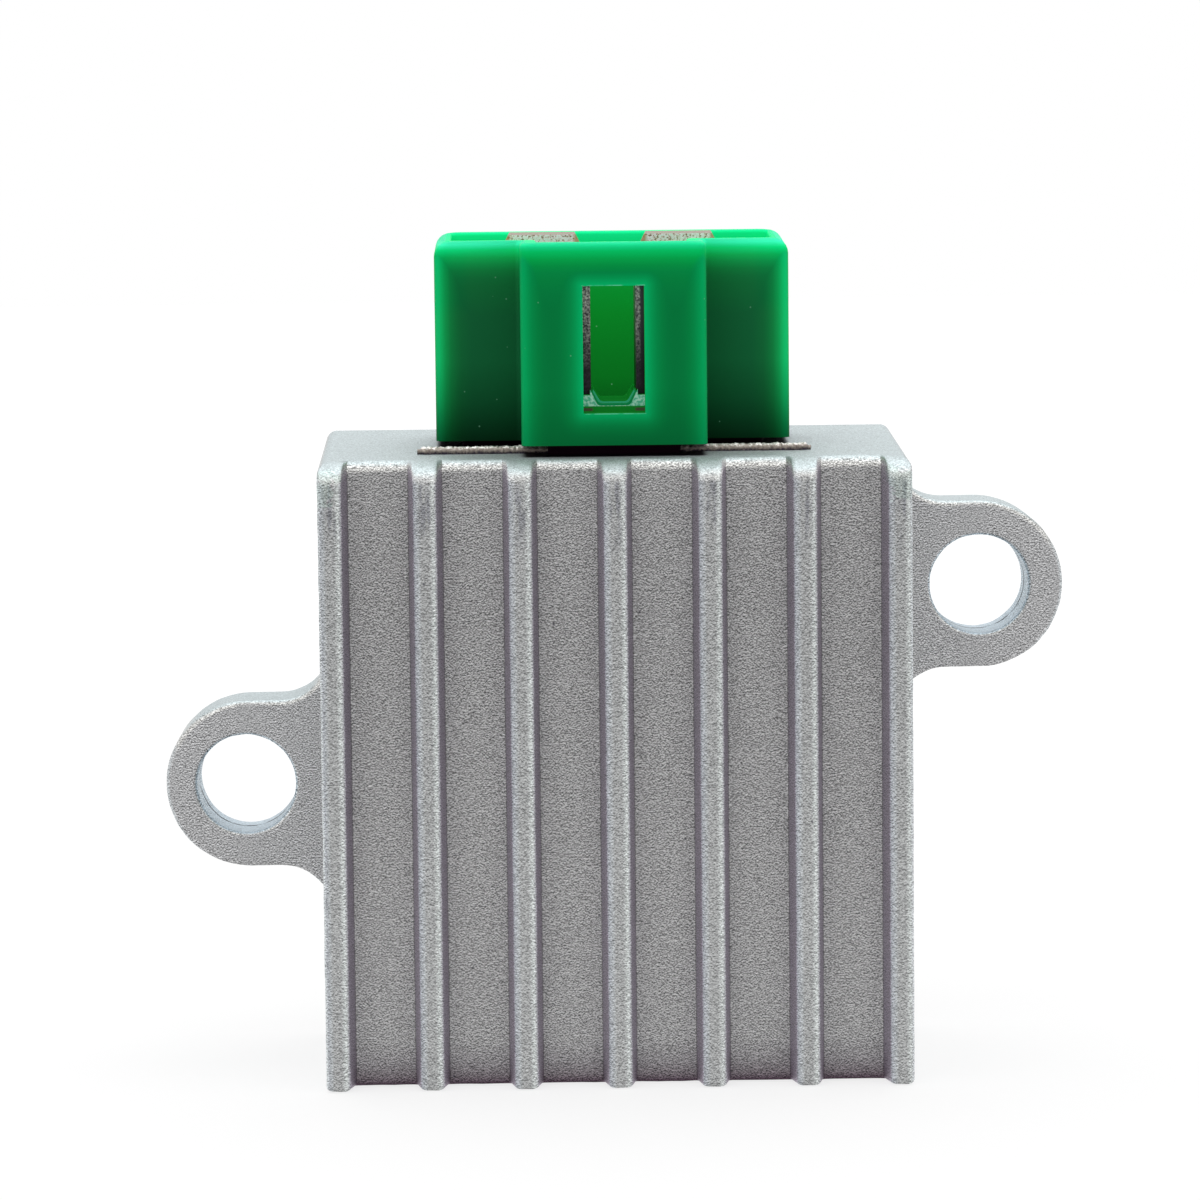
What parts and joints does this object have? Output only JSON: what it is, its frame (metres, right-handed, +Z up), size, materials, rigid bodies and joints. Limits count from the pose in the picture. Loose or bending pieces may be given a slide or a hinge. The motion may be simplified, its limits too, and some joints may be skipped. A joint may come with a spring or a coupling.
{
  "type": "voltage regulator rectifier",
  "caption": "Potted engine voltage regulator and rectifier: finned die-cast housing, diagonal mounting ears and a green T-shaped blade connector.",
  "frame": {"origin": "centre of the bounding box's footprint, on the flat lower end that the part stands on", "axes": "+X to the right seen from the fins, +Y from the fins to the mounting side, +Z up towards the connector"},
  "size_m": [0.075, 0.025, 0.0678],
  "materials": {
    "cast_aluminium": "shot-blasted die casting, dull grey and finely grained",
    "green_nylon": "moulded, slightly translucent green nylon",
    "tinned_brass": "tin-plated brass strip, mottled",
    "black_epoxy": "poured black epoxy with a flat cured surface",
    "board_laminate": "bare laminate board",
    "silicone_pad": "grey silicone heat pad",
    "package_epoxy": "moulded black package",
    "resistor_lacquer": "lacquered tan resistor body",
    "diode_glass": "orange glass diode body",
    "capacitor_sleeve": "dark blue plastic sleeve"
  },
  "bodies": {
    "root": {"housing": "cast_aluminium", "connector_shell": "green_nylon", "crossbar_terminal_left": "tinned_brass", "crossbar_terminal_right": "tinned_brass", "stem_terminal_left": "tinned_brass", "stem_terminal_right": "tinned_brass", "potting_compound": "black_epoxy", "circuit_board": "board_laminate", "insulating_pad": "silicone_pad", "charging_thyristor": "package_epoxy", "lighting_thyristor": "package_epoxy", "rectifier_diode": "package_epoxy", "driver_transistor": "package_epoxy", "smoothing_capacitor": "capacitor_sleeve", "gate_resistor_1": "resistor_lacquer", "gate_resistor_2": "resistor_lacquer", "sense_resistor_1": "resistor_lacquer", "sense_resistor_2": "resistor_lacquer", "zener_diode": "diode_glass", "signal_diode_1": "diode_glass", "signal_diode_2": "diode_glass"}
  },
  "joints": []
}
